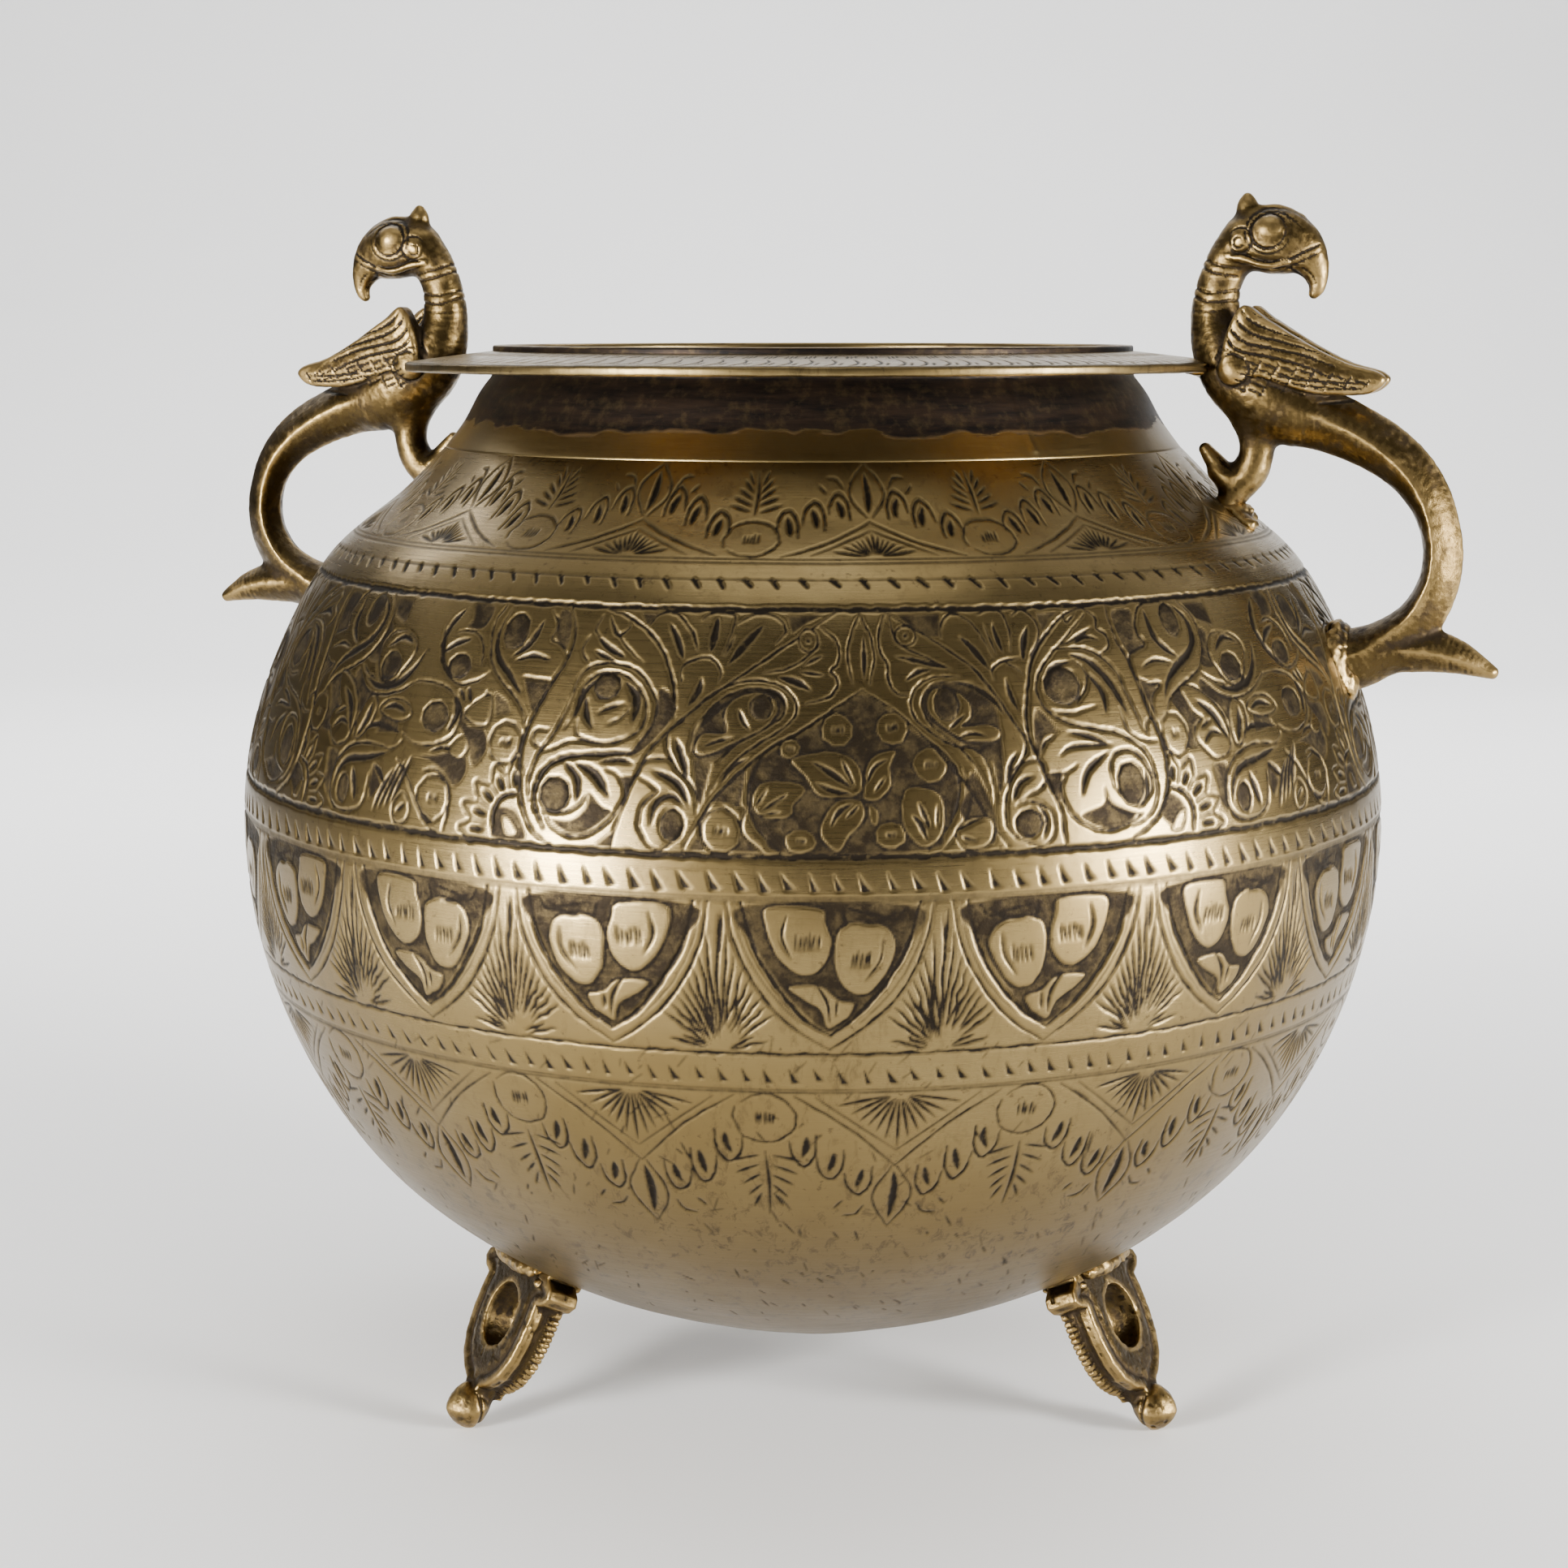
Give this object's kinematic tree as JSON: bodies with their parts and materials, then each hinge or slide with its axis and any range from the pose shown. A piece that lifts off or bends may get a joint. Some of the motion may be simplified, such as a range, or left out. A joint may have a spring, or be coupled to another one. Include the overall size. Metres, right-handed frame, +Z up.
{
  "type": "brass urli pot",
  "caption": "Globe-shaped engraved brass pot with a narrow mouth, flat rim flange, cast feet and two cast bird handles.",
  "frame": {"origin": "on the standing surface, on the pot's vertical axis", "axes": "+X through the bird handle whose tail sits lower, +Z up"},
  "size_m": [0.3566, 0.3002, 0.3156],
  "materials": {
    "sheet_brass": "antique, satin, blackened in the engraving",
    "neck_brass": "dark brown to black patina",
    "cast_brass": "cast, hand polished high spots, dark recesses",
    "braze": "rough brazing metal"
  },
  "bodies": {
    "root": {"body_shell": "sheet_brass", "neck_collar": "neck_brass", "rim_flange": "sheet_brass", "rim_braze": "braze", "bird_handle_right": "cast_brass", "bird_handle_left": "cast_brass", "breast_braze_right": "braze", "breast_braze_left": "braze", "leg_braze_right": "braze", "leg_braze_left": "braze", "tail_braze_right": "braze", "tail_braze_left": "braze", "foot_right": "cast_brass", "foot_left": "cast_brass", "foot_back": "cast_brass", "foot_braze_right": "braze", "foot_braze_left": "braze", "foot_braze_back": "braze"}
  },
  "joints": []
}
